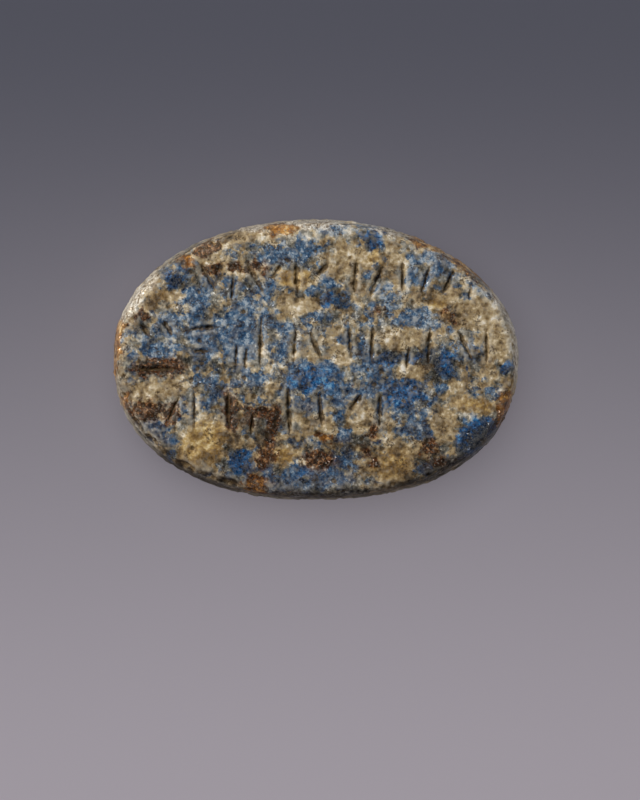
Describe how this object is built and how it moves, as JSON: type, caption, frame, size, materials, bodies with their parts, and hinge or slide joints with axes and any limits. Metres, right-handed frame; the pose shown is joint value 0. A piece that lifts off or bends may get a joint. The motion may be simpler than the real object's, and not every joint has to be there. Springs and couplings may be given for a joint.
{
  "type": "engraved gem",
  "caption": "Oval mottled blue stone gem with a flat front cut with rows of shallow strokes, a worn chipped edge and a flat bevelled back.",
  "frame": {"origin": "middle of the flat back, which the gem lies on", "axes": "+Z out of the engraved front, +X along the oval, +Y towards the top row of strokes"},
  "size_m": [0.018, 0.0124, 0.0032],
  "materials": {
    "veined_blue_stone": "worn polish over granular blue and cream stone with rust brown stains, dusty in the cuts"
  },
  "bodies": {
    "root": {"engraved_stone": "veined_blue_stone"}
  },
  "joints": []
}
